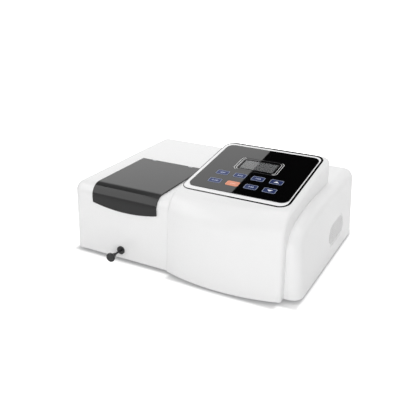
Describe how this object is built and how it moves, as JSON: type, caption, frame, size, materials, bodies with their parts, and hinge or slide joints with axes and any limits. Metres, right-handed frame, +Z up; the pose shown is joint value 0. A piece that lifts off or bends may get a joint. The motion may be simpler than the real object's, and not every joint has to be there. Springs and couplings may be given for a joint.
{
  "type": "scanning spectrophotometer",
  "caption": "Bench spectrophotometer with a raised console of keys and display, a hinged sample compartment lid, a pull rod cell changer and a scanning grating drive.",
  "frame": {"origin": "on the bench, under the middle of the instrument's outer box with the cell changer pushed in", "axes": "+X to the right seen from the front, +Y from the front to the rear, +Z up"},
  "size_m": [0.47, 0.379, 0.1932],
  "materials": {
    "white_plastic": "satin moulded",
    "grey_plastic": "fine textured",
    "black_gloss": "gloss",
    "black_plastic": "matte",
    "blue_key": "satin",
    "orange_key": "satin",
    "clear_window": "polished",
    "display": "matte",
    "optical_glass": "polished",
    "filter_glass": "polished",
    "lamp_glass": "clear",
    "mirror_glass": "polished",
    "bright_steel": "polished",
    "steel": "brushed",
    "spring_steel": "brushed",
    "anodised": "black anodised",
    "aluminium": "machined",
    "grey_paint": "powder coated",
    "zinc_sheet": "plated sheet",
    "rubber": "matte",
    "circuit_board": "coated",
    "brass": "machined",
    "motor_case": "painted"
  },
  "bodies": {
    "housing": {"top_housing": "white_plastic", "base_chassis": "zinc_sheet", "rubber_feet": "rubber", "housing_screws": "steel", "rear_panel": "grey_paint", "vent_grille": "white_plastic", "console_bezel": "white_plastic", "console_strip": "black_plastic", "key_overlay": "black_gloss", "display_window": "clear_window", "display_module": "display", "keypad_board": "circuit_board", "key_switches": "black_plastic", "hinge_brackets": "steel", "hinge_pins": "bright_steel", "sample_well": "anodised", "beam_windows": "optical_glass", "guide_rails": "bright_steel", "rail_blocks": "aluminium", "rod_bushing": "black_plastic", "detent_plunger": "brass", "monochromator_base": "anodised", "monochromator_cover": "anodised", "slit_plates": "spring_steel", "collimating_mirror": "mirror_glass", "focusing_mirror": "mirror_glass", "grating_motor": "motor_case", "filter_motor": "motor_case", "lamp_house": "grey_paint", "halogen_lamp": "lamp_glass", "condenser_lens": "optical_glass", "detector_housing": "anodised", "detector_board": "circuit_board", "main_board": "circuit_board", "power_supply": "zinc_sheet", "fan_frame": "black_plastic", "mains_inlet": "black_plastic", "usb_port": "steel"},
    "lid": {"compartment_lid": "grey_plastic"},
    "changer": {"cell_holder": "anodised", "cell_carriage": "aluminium", "pull_rod": "anodised", "rod_knob": "black_plastic", "cell_springs": "spring_steel"},
    "grating_stage": {"grating_turret": "aluminium", "grating": "mirror_glass"},
    "pinion": {"drive_pinion": "brass"},
    "filters": {"filter_wheel": "anodised", "order_filters": "filter_glass"},
    "fan": {"fan_impeller": "black_plastic"},
    "rocker": {"switch_rocker": "black_plastic"},
    "button_1": {"key_1": "blue_key"},
    "button_2": {"key_2": "orange_key"},
    "button_3": {"key_3": "blue_key"},
    "button_4": {"key_4": "blue_key"},
    "button_5": {"key_5": "blue_key"},
    "button_6": {"key_6": "blue_key"},
    "button_7": {"key_7": "blue_key"},
    "button_8": {"key_8": "blue_key"}
  },
  "joints": [
    {"name": "lid_hinge", "type": "hinge", "parent": "housing", "child": "lid", "pos_m": [-0.10715, 0.01642, 0.1463], "axis": [-1, 0, 0], "range_deg": [0, 100]},
    {"name": "changer_slide", "type": "slide", "parent": "housing", "child": "changer", "axis": [0, -1, 0], "range_m": [0, 0.048]},
    {"name": "grating_turn", "type": "hinge", "parent": "housing", "child": "grating_stage", "pos_m": [-0.002, -0.01798, 0.078], "axis": [0, 0, 1], "range_deg": [-18, 18]},
    {"name": "pinion_turn", "type": "hinge", "parent": "housing", "child": "pinion", "pos_m": [0.043, -0.01798, 0.023], "axis": [0, 0, 1], "range_deg": [-72, 72]},
    {"name": "filter_turn", "type": "hinge", "parent": "housing", "child": "filters", "pos_m": [-0.061, 0.03202, 0.064], "axis": [1, 0, 0], "continuous": true},
    {"name": "fan_turn", "type": "hinge", "parent": "housing", "child": "fan", "pos_m": [0.23243, 0.06352, 0.056], "axis": [0.9986, 0, 0.0523], "continuous": true},
    {"name": "rocker_tilt", "type": "hinge", "parent": "housing", "child": "rocker", "pos_m": [-0.15, 0.18202, 0.062], "axis": [1, 0, 0], "range_deg": [0, 16]},
    {"name": "key_1_press", "type": "slide", "parent": "housing", "child": "button_1", "axis": [0, 0.1444, -0.9895], "range_m": [0, 0.0005], "stiffness_N_per_m": 400, "springref_m": -0.001},
    {"name": "key_2_press", "type": "slide", "parent": "housing", "child": "button_2", "axis": [0, 0.1444, -0.9895], "range_m": [0, 0.0005], "stiffness_N_per_m": 400, "springref_m": -0.001},
    {"name": "key_3_press", "type": "slide", "parent": "housing", "child": "button_3", "axis": [0, 0.1444, -0.9895], "range_m": [0, 0.0005], "stiffness_N_per_m": 400, "springref_m": -0.001},
    {"name": "key_4_press", "type": "slide", "parent": "housing", "child": "button_4", "axis": [0, 0.1444, -0.9895], "range_m": [0, 0.0005], "stiffness_N_per_m": 400, "springref_m": -0.001},
    {"name": "key_5_press", "type": "slide", "parent": "housing", "child": "button_5", "axis": [0, 0.1444, -0.9895], "range_m": [0, 0.0005], "stiffness_N_per_m": 400, "springref_m": -0.001},
    {"name": "key_6_press", "type": "slide", "parent": "housing", "child": "button_6", "axis": [0, 0.1444, -0.9895], "range_m": [0, 0.0005], "stiffness_N_per_m": 400, "springref_m": -0.001},
    {"name": "key_7_press", "type": "slide", "parent": "housing", "child": "button_7", "axis": [0, 0.1444, -0.9895], "range_m": [0, 0.0005], "stiffness_N_per_m": 400, "springref_m": -0.001},
    {"name": "key_8_press", "type": "slide", "parent": "housing", "child": "button_8", "axis": [0, 0.1444, -0.9895], "range_m": [0, 0.0005], "stiffness_N_per_m": 400, "springref_m": -0.001}
  ],
  "couplings": [
    {"joint": "pinion_turn", "follows": "grating_turn", "ratio": -4}
  ]
}
